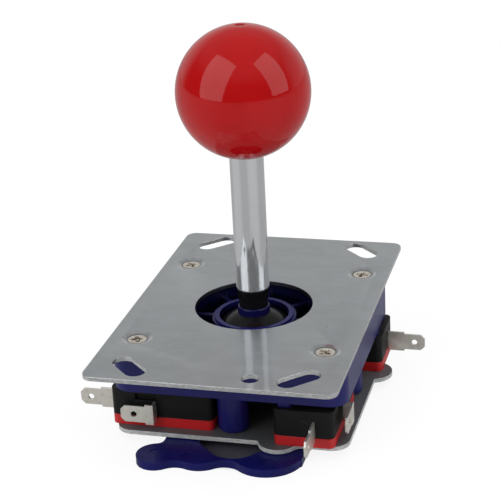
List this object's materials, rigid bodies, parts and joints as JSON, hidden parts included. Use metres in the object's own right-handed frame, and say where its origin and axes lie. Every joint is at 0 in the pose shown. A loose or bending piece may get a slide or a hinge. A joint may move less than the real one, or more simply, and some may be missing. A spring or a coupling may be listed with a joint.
{
  "type": "arcade joystick lever",
  "caption": "Ball-top control lever on a sprung pivot in a moulded housing under a slotted steel plate, with snap switches round it and a turnable gate below.",
  "frame": {"origin": "centre of the mounting plate's top face", "axes": "+Z along the upright lever towards the ball, +X to the right, -Y towards the side where the gate's grip sticks out"},
  "size_m": [0.0858, 0.097, 0.105],
  "materials": {
    "zinc_steel": "satin",
    "screw_metal": "satin",
    "blue_plastic": "semi-gloss",
    "black_gloss": "gloss",
    "black_plastic": "satin",
    "red_plastic": "satin",
    "tinned_metal": "satin",
    "spring_steel": "satin",
    "chrome_steel": "polished",
    "red_gloss": "polished",
    "brass": "satin"
  },
  "bodies": {
    "base": {"mounting_plate": "zinc_steel", "plate_screws": "screw_metal", "housing": "blue_plastic", "bottom_plate": "zinc_steel", "bottom_screws": "screw_metal", "switch_case_front": "black_plastic", "switch_case_right": "black_plastic", "switch_case_back": "black_plastic", "switch_case_left": "black_plastic", "switch_cover_front": "red_plastic", "switch_cover_right": "red_plastic", "switch_cover_back": "red_plastic", "switch_cover_left": "red_plastic", "com_terminal_front": "tinned_metal", "com_terminal_right": "tinned_metal", "com_terminal_back": "tinned_metal", "com_terminal_left": "tinned_metal", "no_terminal_front": "tinned_metal", "no_terminal_right": "tinned_metal", "no_terminal_back": "tinned_metal", "no_terminal_left": "tinned_metal"},
    "spring_carrier": {"spring": "spring_steel"},
    "pivot_block": {"pivot": "blue_plastic", "dust_cap": "black_gloss", "sleeve": "black_gloss", "actuator": "black_plastic"},
    "lever": {"shaft": "chrome_steel", "ball_top": "red_gloss", "ball_insert": "brass", "e_clip": "zinc_steel"},
    "plunger_front": {"plunger_front": "red_plastic"},
    "plunger_right": {"plunger_right": "red_plastic"},
    "plunger_back": {"plunger_back": "red_plastic"},
    "plunger_left": {"plunger_left": "red_plastic"},
    "gate": {"gate": "blue_plastic"}
  },
  "joints": [
    {"name": "tilt_front_back", "type": "hinge", "parent": "base", "child": "spring_carrier", "pos_m": [0, 0, -0.01], "axis": [1, 0, 0], "range_deg": [-8, 8], "stiffness_Nm_per_rad": 0.8, "deforming": ["spring"]},
    {"name": "tilt_left_right", "type": "hinge", "parent": "spring_carrier", "child": "pivot_block", "pos_m": [0, 0, -0.01], "axis": [0, 1, 0], "range_deg": [-8, 8], "stiffness_Nm_per_rad": 0.8},
    {"name": "lever_spin", "type": "hinge", "parent": "pivot_block", "child": "lever", "pos_m": [0, 0, 0], "axis": [0, 0, 1], "continuous": true},
    {"name": "press_front", "type": "slide", "parent": "base", "child": "plunger_front", "axis": [0, -1, 0], "range_m": [0, 0.001], "stiffness_N_per_m": 500},
    {"name": "press_right", "type": "slide", "parent": "base", "child": "plunger_right", "axis": [1, 0, 0], "range_m": [0, 0.001], "stiffness_N_per_m": 500},
    {"name": "press_back", "type": "slide", "parent": "base", "child": "plunger_back", "axis": [0, 1, 0], "range_m": [0, 0.001], "stiffness_N_per_m": 500},
    {"name": "press_left", "type": "slide", "parent": "base", "child": "plunger_left", "axis": [-1, 0, 0], "range_m": [0, 0.001], "stiffness_N_per_m": 500},
    {"name": "gate_turn", "type": "hinge", "parent": "base", "child": "gate", "pos_m": [0, 0, -0.026], "axis": [0, 0, 1], "range_deg": [0, 45]}
  ]
}
